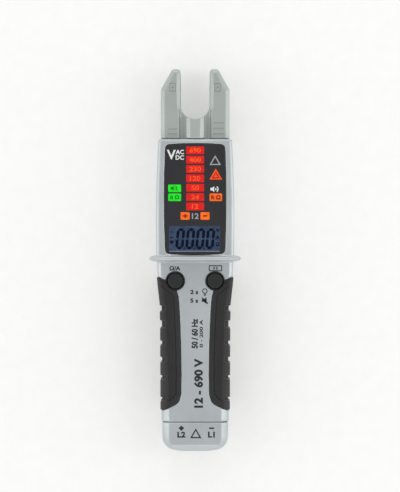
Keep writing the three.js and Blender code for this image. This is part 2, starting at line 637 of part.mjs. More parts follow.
// A horseshoe of ferrite that runs up both prongs.
function jawCore() {
  const [inner, outer] = [12.6, 15.6];
  const shape = new THREE.Shape();
  shape.moveTo(outer, FORK.jawArcY);
  shape.lineTo(outer, 112);
  shape.lineTo(inner, 112);
  shape.lineTo(inner, FORK.jawArcY);
  shape.absarc(0, FORK.jawArcY, inner, 0, -Math.PI, true);
  shape.lineTo(-inner, 112);
  shape.lineTo(-outer, 112);
  shape.lineTo(-outer, FORK.jawArcY);
  shape.absarc(0, FORK.jawArcY, outer, Math.PI, 0, false);
  return prism(shape, 15.2, 20.8, 10);
}

// A wound coil round one arm of the horseshoe.
function jawCoil(side) {
  const outside = box(11.6, 19.2, 99.8, 108.2, 11, 25);
  const inside = box(12.6 - GAP, 15.6 + GAP, 99, 109, 15.2 - GAP, 20.8 + GAP);
  const coil = outside.subtract(inside);
  return side < 0 ? mirrorX(coil) : coil;
}

function torchLens() {
  const lens = cylinderY(0, 27.6, 87.2, 90.2, 2.2, 20);
  return lens.add(cylinderY(0, 27.6, 86, 87.3, 3.0, 20));
}

function torchLed() {
  return cylinderY(0, 27.6, 81.5, 85.6, 1.5, 16).add(cylinderY(0, 27.6, 80.6, 81.6, 1.9, 16));
}

// ---------------------------------------------------------------- display stack

const windowBottom = HEAD.high - WINDOW.thick;
const boardTop = BOARD.low + BOARD.thick;
// Centre and half-size of each lit field under the window.
const RED_FIELDS = [70.2, 64.23, 58.26, 52.29, 46.32, 40.35, 34.38].map((y) => ({
  x: 0, y, halfX: 5.6, halfY: 2.3,
}));
const GREEN_FIELDS = [45.9, 40.2].map((y) => ({ x: -13.1, y, halfX: 4.3, halfY: 2.4 }));
const AMBER_FIELDS = [
  { x: 13.2, y: 55, halfX: 4, halfY: 3.4 },
  { x: 13.2, y: 40.2, halfX: 4.1, halfY: 2.4 },
  { x: -6.4, y: 28.3, halfX: 2.8, halfY: 2.4 },
  { x: 6.3, y: 28.3, halfX: 2.8, halfY: 2.4 },
];
const LCD = { y0: 5.6, y1: 22.4, halfWidth: 16.6 };

function displayWindow() {
  return prism(windowShape(0), windowBottom, HEAD.high - 0.2);
}

// A black frame of light wells between the lamps and the window, with a pocket for the LCD.
function lightGuide() {
  const top = windowBottom - GAP - 2.4;
  const bottom = boardTop + GAP;
  const block = prism(windowShape(-WINDOW.ledge - 0.5), bottom, top);
  const wells = [...RED_FIELDS, ...GREEN_FIELDS, ...AMBER_FIELDS].map(({ x, y, halfX, halfY }) => box(
    x - halfX, x + halfX, y - halfY, y + halfY, bottom - 1, top + 1,
  ));
  const pocketHalf = LCD.halfWidth + GAP;
  const lcdPocket = box(-pocketHalf, pocketHalf, LCD.y0 - 2, LCD.y1 + GAP, bottom - 1, top + 1);
  const bossRoom = screwPlaces().map(([x, y]) => cylinderZ(x, y, bottom - 1, top + 1, SCREW.boss + 0.5, 12));
  return cutBy(block, [...wells, lcdPocket, ...bossRoom]);
}

function lampOnBoard({ x, y }) {
  const seat = boardTop + GAP;
  return box(x - 1.0, x + 1.0, y - 0.6, y + 0.6, seat, seat + 0.9);
}

function lcdPanel() {
  return box(-LCD.halfWidth, LCD.halfWidth, LCD.y0, LCD.y1, 28.2, 30.4);
}

function lcdBacklight() {
  return box(-LCD.halfWidth + 1, LCD.halfWidth - 1, LCD.y0 + 0.6, LCD.y1 - 4, 24.6, 27.9);
}

// The rubber strip that carries the LCD's contacts down to the board.
function lcdConnector() {
  return box(-LCD.halfWidth + 1, LCD.halfWidth - 1, LCD.y1 - 3.4, LCD.y1 - 1.2, boardTop + GAP, 27.9);
}

// ---------------------------------------------------------------- board and what is on it

function mainBoard() {
  const { low, thick, headHalf, handleHalf, topY, waistY, endY } = BOARD;
  const outline = polygon([
    [-handleHalf, endY], [handleHalf, endY], [handleHalf, waistY], [headHalf, waistY + 4],
    [headHalf, topY], [-headHalf, topY], [-headHalf, waistY + 4], [-handleHalf, waistY],
  ]);
  const holes = screwPlaces().map(([x, y]) => cylinderZ(x, y, low - 1, boardTop + 1, SCREW.boss + 0.6, 12));
  return cutBy(prism(outline, low, low + thick), holes);
}

function tactSwitch(x) {
  const body = box(x - 3, x + 3, BUTTON.y - 3, BUTTON.y + 3, boardTop + GAP, boardTop + 2.6);
  return body.add(cylinderZ(x, BUTTON.y, boardTop + 2.5, boardTop + 3.3, 1.7, 16));
}

// A round button with a dished top, a stem and a collar that keeps it in the case.
function button(x) {
  const collarTop = HANDLE.high - HANDLE.wall - GAP - 0.1;
  const profile = [
    [0, boardTop + 4.4], [1.8, boardTop + 4.4], [1.8, collarTop - 1.0],
    [BUTTON.collar, collarTop - 1.0], [BUTTON.collar, collarTop],
    [BUTTON.radius, collarTop], [BUTTON.radius, BUTTON.top - 0.7], [BUTTON.radius - 0.6, BUTTON.top],
    [BUTTON.radius - 1.6, BUTTON.top - 0.15], [0, BUTTON.top - 0.35],
  ];
  const geometry = new THREE.LatheGeometry(profile.map(([r, z]) => new THREE.Vector2(r, z)), 22);
  return solidOf(geometry.rotateX(Math.PI / 2).translate(x, BUTTON.y, 0));
}

function buzzer() {
  const top = BOARD.low - GAP;
  const soundHole = cylinderZ(0, BUZZER_Y, 0, top - 4.7, 1.2, 12);
  return cylinderZ(0, BUZZER_Y, top - 5, top, 6.5, 24).subtract(soundHole);
}

function measuringChip() {
  return box(-5, 5, -42, -32, boardTop + GAP, boardTop + GAP + 1.4);
}

function inputResistor(x) {
  return cylinderY(x, boardTop + GAP + 1.5, -92, -82, 1.5, 16);
}

function protectionDisc(x) {
  return cylinderY(x, boardTop + GAP + 2.4, -76, -73, 2.4, 16);
}

// ---------------------------------------------------------------- batteries and their door

// A cell with its small positive stud. Every other cell faces the other way.
function battery(x, flipped) {
  const { z, radius, length } = BATTERY;
  const middle = (BAY.topY + BAY.bottomY) / 2 + (flipped ? -1.6 : 1.6);
  const body = cylinderY(0, z, -length / 2, length / 2 - 1, radius, 24);
  const stud = cylinderY(0, z, length / 2 - 1.1, length / 2, 1.9, 16);
  const cell = body.add(stud);
  const turned = flipped ? cell.mirror([0, 1, 0]) : cell;
  return turned.translate([x, middle, 0]);
}

// A tapered coil spring that bears on a cell's flat end.
function batterySpring(x, wallY, direction) {
  const [turns, height, wire] = [3, 3, 0.3];
  class TaperedHelix extends THREE.Curve {
    getPoint(t, target = new THREE.Vector3()) {
      const angle = t * turns * 2 * Math.PI;
      const radius = 3.4 - 1.4 * t;
      return target.set(radius * Math.cos(angle), t * height, radius * Math.sin(angle));
    }
  }
  const section = new THREE.Shape();
  section.absarc(0, 0, wire, 0, 2 * Math.PI, false);
  const geometry = new THREE.ExtrudeGeometry(section, {
    extrudePath: new TaperedHelix(), steps: turns * 10, curveSegments: 2,
  });
  const wound = solidOf(geometry);
  const spring = direction > 0 ? wound : wound.mirror([0, 1, 0]);
  return spring.translate([x, wallY + direction * 0.75, BATTERY.z]);
}

function batteryContact(x, wallY, direction) {
  const [y0, y1] = [wallY + direction * GAP, wallY + direction * (GAP + 0.5)].sort((a, b) => a - b);
  return box(x - 4, x + 4, y0, y1, 4.4, 13);
}

// The door: a plate with two tongues that hook under the case and a countersunk screw hole.
function batteryDoor() {
  const { halfWidth, topY, bottomY, low, thick, screwY } = DOOR;
  const plate = box(-halfWidth, halfWidth, bottomY, topY, low, low + thick);
  const tongues = [-5, 5].map((x) => box(x - 2.5, x + 2.5, topY - 0.9, topY, low + 0.5, low + thick + 1.3)
    .add(box(x - 2.5, x + 2.5, topY - 0.5, topY + 2, low + thick + 0.1, low + thick + 1.3)));
  const screwHole = cylinderZ(0, screwY, -1, 10, 1.25 + GAP);
  const headSeat = cylinderZ(0, screwY, -1, low + 1.4, 2.5 + GAP);
  const ribs = [-8, -4, 0, 4, 8].map((x) => box(x - 0.6, x + 0.6, -66, -54, low - 0.5, low + 0.5));
  return cutBy(joined([plate, ...tongues]), [screwHole, headSeat, ...ribs]);
}

// A cross cut into a screw head from below.
function crossRecess(x, y, z0, z1) {
  const [long, narrow] = [1.2, 0.25];
  return box(x - long, x + long, y - narrow, y + narrow, z0, z1)
    .add(box(x - narrow, x + narrow, y - long, y + long, z0, z1));
}

function doorScrew() {
  const { low, screwY } = DOOR;
  const head = cylinderZ(0, screwY, low + 0.1, low + 1.1, 2.5, 24);
  const shank = cylinderZ(0, screwY, low + 1, 5.2, 1.25, 16);
  return head.add(shank).subtract(crossRecess(0, screwY, 0, low + 0.7));
}

function shellScrew([x, y]) {
  const { head, shank, seatZ, headThick, tipZ } = SCREW;
  const headBottom = seatZ - GAP - headThick;
  return cylinderZ(x, y, headBottom, seatZ - GAP, head, 14)
    .add(cylinderZ(x, y, seatZ - 1, tipZ, shank, 8))
    .subtract(crossRecess(x, y, headBottom - 1, headBottom + 0.9));
}

// ---------------------------------------------------------------- the assembly

const tester = new THREE.Group();

function place(name, solid, look) {
  const mesh = new THREE.Mesh(geometryOf(solid), look);
  mesh.name = name;
  tester.add(mesh);
}

const leftFrontGrip = frontGrip();
const leftRearGrip = rearGrip();

place('front_shell', frontShell(), silverPlastic);
place('rear_shell', rearShell(), silverPlastic);
place('fork_front_shell', forkCase.intersect(upperSpace), forkPlastic);
place('fork_rear_shell', forkCase.intersect(lowerSpace), forkPlastic);
place('end_cap', endCap(), silverPlastic);
place('display_window', displayWindow(), blackPanel);
place('grip_front_left', leftFrontGrip, gripRubber);
place('grip_front_right', mirrorX(leftFrontGrip), gripRubber);
place('grip_rear_left', leftRearGrip, gripRubber);
place('grip_rear_right', mirrorX(leftRearGrip), gripRubber);
place('function_button', button(-BUTTON.x), buttonRubber);
place('hold_button', button(BUTTON.x), buttonRubber);
place('function_switch', tactSwitch(-BUTTON.x), chipBlack);
place('hold_switch', tactSwitch(BUTTON.x), chipBlack);
place('main_board', mainBoard(), boardGreen);
place('light_guide', lightGuide(), blackPlastic);
place('lcd_panel', lcdPanel(), lcdGlass);
place('lcd_backlight', lcdBacklight(), whitePlastic);
place('lcd_connector', lcdConnector(), gripRubber);
RED_FIELDS.forEach((field, i) => place(`red_led_${i + 1}`, lampOnBoard(field), redLed));
GREEN_FIELDS.forEach((field, i) => place(`green_led_${i + 1}`, lampOnBoard(field), greenLed));
AMBER_FIELDS.forEach((field, i) => place(`amber_led_${i + 1}`, lampOnBoard(field), amberLed));
place('buzzer', buzzer(), blackPlastic);
place('torch_led', torchLed(), whitePlastic);
place('torch_lens', torchLens(), clearPlastic);
place('jaw_core', jawCore(), ferrite);
place('jaw_coil_left', jawCoil(-1), copper);
place('jaw_coil_right', jawCoil(1), copper);
place('battery_door', batteryDoor(), silverPlastic);
place('battery_door_screw', doorScrew(), steel);
place('battery_1', battery(-BATTERY.x, false), batteryJacket);
place('battery_2', battery(BATTERY.x, true), batteryJacket);
place('battery_spring_1', batterySpring(-BATTERY.x, BAY.bottomY, 1), steel);
place('battery_spring_2', batterySpring(BATTERY.x, BAY.topY, -1), steel);
place('battery_contact_1', batteryContact(-BATTERY.x, BAY.topY, -1), steel);
place('battery_contact_2', batteryContact(BATTERY.x, BAY.bottomY, 1), steel);
place('socket_l2', socket(socketPlaces[0]), brass);
place('socket_l1', socket(socketPlaces[1]), brass);
screwPlaces().forEach((spot, i) => place(`shell_screw_${i + 1}`, shellScrew(spot), steel));
place('measuring_chip', measuringChip(), chipBlack);
place('input_resistor_1', inputResistor(-6), resistorBlue);
place('input_resistor_2', inputResistor(6), resistorBlue);
place('protection_disc_1', protectionDisc(-6), resistorBlue);
place('protection_disc_2', protectionDisc(6), resistorBlue);

export default tester;
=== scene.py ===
# %% [markdown]
# # An open-jaw electrical tester
# The tester lies on its back: +Z comes out of its face, +Y points to the fork, and the units are
# metres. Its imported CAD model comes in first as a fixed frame. Every place and size below is taken
# from that frame or given in millimetres from its origin, which is under the middle of the tester.

# %% Load the frame
import json
import math

import bmesh
import bpy
from mathutils import Matrix, Vector


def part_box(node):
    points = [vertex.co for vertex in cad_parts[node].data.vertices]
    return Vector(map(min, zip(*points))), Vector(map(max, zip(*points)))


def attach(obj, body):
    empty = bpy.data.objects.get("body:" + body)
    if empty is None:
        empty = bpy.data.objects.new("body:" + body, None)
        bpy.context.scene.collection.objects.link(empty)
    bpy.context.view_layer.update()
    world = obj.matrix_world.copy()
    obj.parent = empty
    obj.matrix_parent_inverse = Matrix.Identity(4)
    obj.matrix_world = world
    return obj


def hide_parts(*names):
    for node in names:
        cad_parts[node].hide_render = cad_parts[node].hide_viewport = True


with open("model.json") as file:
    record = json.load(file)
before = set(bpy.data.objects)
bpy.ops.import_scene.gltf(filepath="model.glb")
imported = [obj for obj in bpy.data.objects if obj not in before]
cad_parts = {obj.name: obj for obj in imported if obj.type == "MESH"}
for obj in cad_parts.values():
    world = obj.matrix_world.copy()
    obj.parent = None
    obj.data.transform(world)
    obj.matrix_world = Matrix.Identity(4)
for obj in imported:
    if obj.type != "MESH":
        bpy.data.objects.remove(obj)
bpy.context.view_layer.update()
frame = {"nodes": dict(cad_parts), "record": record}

MM = 0.001
CASE = "case"

# %% [markdown]
# ## Camera
# The camera looks straight down on the face from over a metre away, as a catalogue camera does with
# a long lens: the sides then show only as the narrow rounded edges. The length that the view takes in
# at the level of the face and the camera's distance give the focal length by similar triangles.

# %% Camera
scene = bpy.context.scene
VIEW_LENGTH = 314.1 * MM
VIEW_DISTANCE = 1200 * MM
VIEW_X = 3.1 * MM
VIEW_Y = 9.1 * MM
SENSOR_SIDE = 36
FACE_SHARE = 0.9

face_level = FACE_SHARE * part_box("front_shell")[1].z
lens = bpy.data.cameras.new("long_lens")
lens.sensor_width = SENSOR_SIDE
lens.lens = SENSOR_SIDE * (VIEW_DISTANCE - face_level) / VIEW_LENGTH
lens.clip_end = 10
camera = bpy.data.objects.new("camera", lens)
camera.location = (VIEW_X, VIEW_Y, VIEW_DISTANCE)
scene.collection.objects.link(camera)
scene.camera = camera
print("focal length in mm:", round(lens.lens, 1))

# %% [markdown]
# ## Light and backdrop
# The tester lies on a light table in a light tent. The tent's walls are bright and its top, where
# the camera looks in, is dimmer: so the flat face and the polished window stay calm, and every edge
# that turns towards a wall is paler than the face. Four long lamps behind the walls add to them.

# %% Studio
def add(tree, kind, inputs=None, **settings):
    """Adds a node with its settings, and sets or links its inputs."""
    made = tree.nodes.new(kind)
    for name, value in settings.items():
        setattr(made, name, value)
    for socket, value in (inputs or {}).items():
        if isinstance(value, bpy.types.NodeSocket):
            tree.links.new(value, made.inputs[socket])
        else:
            made.inputs[socket].default_value = value
    return made


def srgb(code):
    """A colour written as sRGB hex, as linear RGBA."""
    parts = [int(code[i:i + 2], 16) / 255 for i in (0, 2, 4)]
    return tuple(c / 12.92 if c <= 0.04045 else ((c + 0.055) / 1.055) ** 2.4 for c in parts) + (1,)


AIM = Vector((0, 0, 0.02))


def lamp(name, width, length, power, place):
    """A soft box of that size in metres, pointing at the tester."""
    light = bpy.data.lights.new(name, "AREA")
    light.shape = "RECTANGLE"
    light.size = width
    light.size_y = length
    light.energy = power
    box = bpy.data.objects.new(name, light)
    box.location = place
    box.rotation_euler = (AIM - Vector(place)).to_track_quat("-Z", "Y").to_euler()
    scene.collection.objects.link(box)


LAMP_WIDTH, LAMP_LENGTH, LAMP_HEIGHT = 0.5, 1.6, 0.6
SIDE_WALL, END_WALL = 1.2, 1.4
lamp("left_wall", LAMP_WIDTH, LAMP_LENGTH, 3.8, (-SIDE_WALL, 0.0, LAMP_HEIGHT))
lamp("right_wall", LAMP_WIDTH, LAMP_LENGTH, 4.8, (SIDE_WALL, 0.0, LAMP_HEIGHT))
lamp("fork_end_wall", LAMP_LENGTH, LAMP_WIDTH, 4.0, (0.0, END_WALL, LAMP_HEIGHT))
lamp("socket_end_wall", LAMP_LENGTH, LAMP_WIDTH, 3.0, (0.0, -END_WALL, LAMP_HEIGHT))

# The tent's brightness by the height of a direction, which is 1 straight up.
WALL_LIGHT, TOP_LIGHT = 1.3, 0.55
WALL_END, TOP_START = 0.45, 0.98
world = bpy.data.worlds.new("light_tent")
world.use_nodes = True
tent = world.node_tree
direction = add(tent, "ShaderNodeTexCoord").outputs["Generated"]
height = add(tent, "ShaderNodeSeparateXYZ", {"Vector": direction}).outputs["Z"]
strength = add(tent, "ShaderNodeMapRange", {
    "Value": height, "From Min": WALL_END, "From Max": TOP_START,
    "To Min": WALL_LIGHT, "To Max": TOP_LIGHT})
tent.nodes["Background"].inputs["Color"].default_value = srgb("f8f8f7")
tent.links.new(strength.outputs["Result"], tent.nodes["Background"].inputs["Strength"])
scene.world = world
scene.view_settings.view_transform = "Standard"


# %% [markdown]
# ## Materials
# Every finish here has a fine texture from its mould, its mesh or its tool, and a slow drift between
# two near colours. Both are noise on the piece's own coordinates in metres, so a scale is one over
# the real size. The fine noise drives gloss and relief together, as one texture does on a surface.
# Most of a noise lies between 0.3 and 0.7, so that stretch is what is turned into colour and gloss.

# %% A finish
NOISE_LOW, NOISE_HIGH = 0.3, 0.7
GLOSS_SWING = 0.06
RELIEF_STRENGTH = 0.5


def finish(name, dark, light, rough, texture_mm, relief_mm=0.0, tone_mm=12.0,
           stretch=(1, 1, 1), **values):
    """A material from two colours, a roughness and the real size of its texture."""
    made = bpy.data.materials.new(name)
    made.use_nodes = True
    tree = made.node_tree
    shader = tree.nodes["Principled BSDF"]
    for socket, value in values.items():
        shader.inputs[socket.replace("_", " ")].default_value = value
    place = add(tree, "ShaderNodeTexCoord").outputs["Object"]
    spread = add(tree, "ShaderNodeMapping", {"Vector": place, "Scale": stretch}).outputs["Vector"]
    texture = add(tree, "ShaderNodeTexNoise", {
        "Vector": spread, "Scale": 1 / (texture_mm * MM), "Detail": 3.0}).outputs["Fac"]
    drift = add(tree, "ShaderNodeTexNoise", {
        "Vector": spread, "Scale": 1 / (tone_mm * MM), "Detail": 2.0}).outputs["Fac"]
    shade = add(tree, "ShaderNodeMapRange", {
        "Value": drift, "From Min": NOISE_LOW, "From Max": NOISE_HIGH}).outputs["Result"]
    # A mix of colours takes them in its sockets 6 and 7, and gives its colour from socket 2.
    colour = add(tree, "ShaderNodeMix", {
        "Factor": shade, 6: srgb(dark), 7: srgb(light)}, data_type="RGBA").outputs[2]
    gloss = add(tree, "ShaderNodeMapRange", {
        "Value": texture, "From Min": NOISE_LOW, "From Max": NOISE_HIGH,
        "To Min": rough - GLOSS_SWING, "To Max": rough + GLOSS_SWING})
    tree.links.new(colour, shader.inputs["Base Color"])
    tree.links.new(gloss.outputs["Result"], shader.inputs["Roughness"])
    if relief_mm:
        relief = add(tree, "ShaderNodeBump", {
            "Height": texture, "Distance": relief_mm * MM, "Strength": RELIEF_STRENGTH})
        tree.links.new(relief.outputs["Normal"], shader.inputs["Normal"])
    return made


# %% [markdown]
# ### The case
# The case is ABS, injection-moulded in a mould with a fine spark-eroded texture and sprayed with
# silver-grey paint. Fine flakes in the paint make it a little metallic and break up the gloss.
# The real texture is about 0.15 mm, which is too fine to show, so it is drawn at 0.5 mm. The fork's
# plastic has fewer flakes and is duller and a little greener. Its raised marks are a little darker
# as painted shade, for edges that catch less light than the face.

# %% ABS of the case and the fork
SILVER_ABS = finish("silver_painted_abs", "abb1b3", "b4babc", 0.37, 0.5, 0.01, 24, Metallic=0.4, IOR=1.5)
FORK_ABS = finish("grey_textured_abs", "9ba29e", "a5aca8", 0.4, 0.5, 0.01, 24, Metallic=0.3, IOR=1.5)
# The raised marks' darker colour is painted shade: their edges catch less light than the face.
FORK_MARKS_PAINTED_SHADE = finish("raised_marks_painted_shade", "7b827f", "868d8a", 0.5, 0.5, 0.01, 24, Metallic=0.2, IOR=1.5)
print("case materials:", SILVER_ABS.name, FORK_ABS.name, FORK_MARKS_PAINTED_SHADE.name)

# %% [markdown]
# ### Rubber
# The grips are thermoplastic rubber moulded over the case. It is nearly black, matte, and has a
# leathery texture of about 0.6 mm. The buttons are silicone rubber, which is smoother. A little
# sheen stands for the fine bloom that makes rubber paler where it turns away.

# %% Moulded rubber
GRIP_RUBBER = finish("overmoulded_rubber", "0d0d0f", "141416", 0.72, 0.6, 0.04, 9,
                     IOR=1.52, Specular_IOR_Level=0.4, Sheen_Weight=0.2)
BUTTON_RUBBER = finish("silicone_rubber", "101112", "161718", 0.62, 0.4, 0.03, 6,
                       IOR=1.43, Sheen_Weight=0.05)
print("rubbers:", GRIP_RUBBER.name, BUTTON_RUBBER.name)

# %% [markdown]
# ### Display
# The window is smoked acrylic, polished, with a hard coat and a faint haze of wipe marks. What it
# shows is printed on it in white, grey or dark ink, or is a tinted field lit from behind by a lamp
# in a light well. The LCD is blue-grey with dark navy segments. A print has a grain of about 0.4 mm.

# %% Window and inks
SMOKED_ACRYLIC = finish(
    "smoked_acrylic", "18171b", "1f1e23", 0.12, 14, tone_mm=14, stretch=(1, 0.3, 1),
    IOR=1.49, Coat_Weight=0.4, Coat_Roughness=0.04)
WHITE_INK = finish("white_ink", "cfd0d1", "dedfe0", 0.45, 0.4, tone_mm=0.8, IOR=1.5)
GREY_INK = finish("grey_ink", "8d9294", "9ba0a2", 0.45, 0.4, tone_mm=0.8, IOR=1.5)
DARK_INK = finish("dark_ink", "101116", "18191e", 0.5, 0.4, tone_mm=0.8, IOR=1.5)
LCD_SEGMENT = finish("lcd_segment", "02051c", "070b2a", 0.4, 0.4, tone_mm=0.8,
                     IOR=1.5, Specular_IOR_Level=0.1)
LCD_LINE = finish("lcd_edge", "8f98ad", "a2abbf", 0.3, 0.4, tone_mm=0.8, IOR=1.5)
print("inks:", len([m for m in bpy.data.materials if m.name.endswith("_ink")]))

# %% [markdown]
# ### Lit fields
# A lit field is tinted acrylic with a lamp behind it. Real light through tinted plastic needs many
# samples to be clean, so the tint itself glows a little, and its gloss still takes the studio light.

# %% Tinted acrylic
def lit_window(name, dark, light, glow):
    """A tinted window lit from behind: its colour is also the colour of its light."""
    made = finish(name, dark, light, 0.25, 0.8, tone_mm=2.2, IOR=1.49, Emission_Strength=glow)
    shader = made.node_tree.nodes["Principled BSDF"]
    tint = shader.inputs["Base Color"].links[0].from_socket
    made.node_tree.links.new(tint, shader.inputs["Emission Color"])
    return made


RED_LIGHT = lit_window("red_lit_acrylic", "b40200", "c80702", 0.25)
RED_DIGIT = lit_window("orange_lit_figure", "c43408", "d8480e", 0.45)
GREEN_LIGHT = lit_window("green_lit_acrylic", "00b408", "08cc14", 0.4)
GREEN_SIGN = lit_window("green_lit_sign", "005c06", "02680a", 0.2)
AMBER_LIGHT = lit_window("amber_lit_acrylic", "c84a00", "e0640a", 0.4)
TRIANGLE_LIGHT = lit_window("orange_lit_acrylic", "c42a00", "e04a06", 0.4)
AMBER_SIGN = lit_window("amber_lit_sign", "6a1400", "7c1c02", 0.1)
# No lamp lights the LCD here: its faint glow is painted light that lifts its blue-grey.
LCD_FACE_PAINTED_GLOW = lit_window("lcd_polariser_painted_glow", "1d2f46", "2f445e", 0.05)
print("lit fields:", len([m for m in bpy.data.materials if "_lit_" in m.name]))

# %% [markdown]
# ## Moulded pieces
# The CAD solids have the right form but knife-sharp edges, and a moulded piece has none: the cutter
# that made the mould leaves every edge a little round. A bevel would need clean edges all the way
# round, which cut solids don't have. So each piece is rebuilt from its CAD solid as an even skin of
# small faces, relaxed until the edges are round, and then thinned where it is flat.

# %% From CAD solid to moulded piece
def as_piece(name, mesh, material, body):
    """Makes a piece of the tester from a mesh, riding on a body."""
    made = bpy.data.objects.new(name, mesh)
    mesh.materials.clear()
    mesh.materials.append(material)
    scene.collection.objects.link(made)
    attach(made, body)
    return made


def baked(source, name):
    """The source's mesh with all its modifiers worked in."""
    graph = bpy.context.evaluated_depsgraph_get()
    return bpy.data.meshes.new_from_object(source.evaluated_get(graph), depsgraph=graph)


FACE_WEIGHT = 80


def moulded(node, name, material, skin_mm, relax, keep, body=CASE):
    """Stands for a CAD node, with a skin of that size, relaxed so often, and that share kept."""
    rough = bpy.data.objects.new(name + "_rough", frame["nodes"][node].data.copy())
    scene.collection.objects.link(rough)
    skin = rough.modifiers.new("skin", "REMESH")
    skin.mode = "VOXEL"
    skin.voxel_size = skin_mm * MM
    ease = rough.modifiers.new("ease", "SMOOTH")
    ease.iterations = relax
    thin = rough.modifiers.new("thin", "DECIMATE")
    thin.ratio = keep
    mesh = baked(rough, name)
    bpy.data.objects.remove(rough)
    mesh.shade_smooth()
    made = as_piece(name, mesh, material, body)
    weighted = made.modifiers.new("flat_faces_lead", "WEIGHTED_NORMAL")
    weighted.keep_sharp = False
    weighted.weight = FACE_WEIGHT
    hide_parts(node)
    print(name, "faces:", len(mesh.polygons))


# %% Case, fork and end cap
# The numbers are the skin in millimetres, the rounds of relaxing and the share of faces kept.
moulded("front_shell", "front_case", SILVER_ABS, 0.4, 6, 0.3)
moulded("rear_shell", "rear_case", SILVER_ABS, 0.4, 6, 0.25)
moulded("end_cap", "end_cap_moulding", SILVER_ABS, 0.35, 6, 0.3)
moulded("fork_front_shell", "fork_front", FORK_ABS, 0.35, 8, 0.4)
moulded("fork_rear_shell", "fork_rear", FORK_ABS, 0.35, 8, 0.3)
moulded("battery_door", "battery_door_moulding", SILVER_ABS, 0.22, 3, 0.4, "battery_door")

# %% [markdown]
# ### Grips, buttons and window
# Rubber takes up finer edges from its mould than the case does, and the window is polished and crisp,
# so their skins are finer. The buttons have the finest, as a pressed stem stops only a tenth of a
# millimetre above its switch.

# %% Grips, buttons and window
for side in ("left", "right"):
    moulded(f"grip_front_{side}", f"front_grip_{side}", GRIP_RUBBER, 0.28, 6, 0.4)
    moulded(f"grip_rear_{side}", f"rear_grip_{side}", GRIP_RUBBER, 0.28, 6, 0.4)
for button in ("function_button", "hold_button"):
    moulded(button, button + "_cap", BUTTON_RUBBER, 0.12, 3, 0.4, button)
moulded("display_window", "window_panel", SMOKED_ACRYLIC, 0.2, 2, 0.25)


# %% [markdown]
# ## Signs and prints
# Printed and lit signs are thin plates that stand a twentieth of a millimetre over what they are
# printed on, as thick ink does. A sign is drawn as filled outlines, where an outline inside another
# is a hole. Numbers come from the built-in font, scaled until they have the height they need. Sizes
# and places of signs are in millimetres.

# %% Filled outlines
INK = 0.05


def filled(outlines, thick=INK):
    """A flat plate from closed outlines, as thick as the ink unless that is given."""
    drawing = bpy.data.curves.new("drawing", "CURVE")
    drawing.dimensions = "2D"
    drawing.fill_mode = "BOTH"
    drawing.extrude = thick / 2
    for outline in outlines:
        spline = drawing.splines.new("POLY")
        spline.points.add(len(outline) - 1)
        for point, (x, y) in zip(spline.points, outline):
            point.co = (x, y, 0, 1)
        spline.use_cyclic_u = True
    return flattened(drawing)


def flattened(drawing):
    """A curve or text as a mesh."""
    holder = bpy.data.objects.new("holder", drawing)
    scene.collection.objects.link(holder)
    mesh = baked(holder, "drawn")
    bpy.data.objects.remove(holder)
    return mesh


def word(text, height, x, y, turn=0, squeeze=1.0, weight=0.02):
    """Text of that height, centred on x and y, its strokes swollen by the weight."""
    line = bpy.data.curves.new("line", "FONT")
    line.body = text
    line.offset = weight
    line.extrude = INK / 2
    line.resolution_u = 3
    mesh = flattened(line)
    xs = [v.co.x for v in mesh.vertices]
    ys = [v.co.y for v in mesh.vertices]
    zoom = height / (max(ys) - min(ys))
    middle = Vector(((min(xs) + max(xs)) / 2, (min(ys) + max(ys)) / 2, 0))
    mesh.transform(Matrix.Diagonal((zoom * squeeze, zoom, 1, 1)) @ Matrix.Translation(-middle))
    mesh.transform(Matrix.Translation((x, y, 0)) @ Matrix.Rotation(math.radians(turn), 4, "Z"))
    return mesh


def rounded_box(x, y, width, height, corner, steps=4):
    """The outline of a box with round corners, centred on x and y."""
    points = []
    for quarter, (sx, sy) in enumerate(((1, 1), (-1, 1), (-1, -1), (1, -1))):
        for step in range(steps + 1):
            angle = math.radians(90 * (quarter + step / steps))
            points.append((
                x + sx * (width / 2 - corner) + corner * math.cos(angle),
                y + sy * (height / 2 - corner) + corner * math.sin(angle),
            ))
    return points


def regular(x, y, radius, corners):
    """A regular outline with that many corners, the first one at its top."""
    angles = [math.radians(90 + 360 * n / corners) for n in range(corners)]
    return [(x + radius * math.cos(a), y + radius * math.sin(a)) for a in angles]


def triangle_line(x, y, radius, inner):
    """A triangle drawn as a line, between two radii."""
    return filled([regular(x, y, radius, 3), regular(x, y, inner, 3)])


def printed(name, signs, level, material):
    """Joins signs into one print on the case, lying on that level."""
    joined = bmesh.new()
    for sign in signs:
        joined.from_mesh(sign)
    mesh = bpy.data.meshes.new(name)
    bmesh.ops.translate(joined, verts=joined.verts, vec=(0, 0, level + INK / 2))
    bmesh.ops.scale(joined, verts=joined.verts, vec=(MM, MM, MM))
    joined.to_mesh(mesh)
    joined.free()
    as_piece(name, mesh, material, CASE)


WINDOW_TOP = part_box("display_window")[1].z / MM
HANDLE_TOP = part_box("end_cap")[1].z / MM
print("ink on the window and the handle at mm:", round(WINDOW_TOP, 2), round(HANDLE_TOP, 2))

# %% [markdown]
# ## Lit fields
# Seven red fields show the voltage steps, two green and the orange ones show the kind of test. Each
# is a rounded rectangle over its own lamp, so its place comes from the lamp in the frame.

# %% Red voltage column
VOLTAGES = ("690", "400", "230", "120", "50", "24", "12")
RED_FIELD = {"width": 11.4, "height": 4.9, "corner": 0.5}
RED_FIGURE = {"height": 3.2, "squeeze": 1.2, "weight": 0.03}


def middle_of(node):
    """The middle of a CAD node in millimetres."""
    low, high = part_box(node)
    return (low + high) / 2 / MM


for step, volts in enumerate(VOLTAGES, start=1):
    at = middle_of(f"red_led_{step}")
    bar = filled([rounded_box(at.x, at.y, **RED_FIELD)])
    printed(f"red_field_{step}", [bar], WINDOW_TOP, RED_LIGHT)
    figure = word(volts, x=at.x, y=at.y, **RED_FIGURE)
    printed(f"red_number_{step}", [figure], WINDOW_TOP + INK, RED_DIGIT)
print("voltage fields:", len(VOLTAGES))

# %% Green and orange fields
FIELD_HEIGHT, FIELD_CORNER = 4.8, 0.6


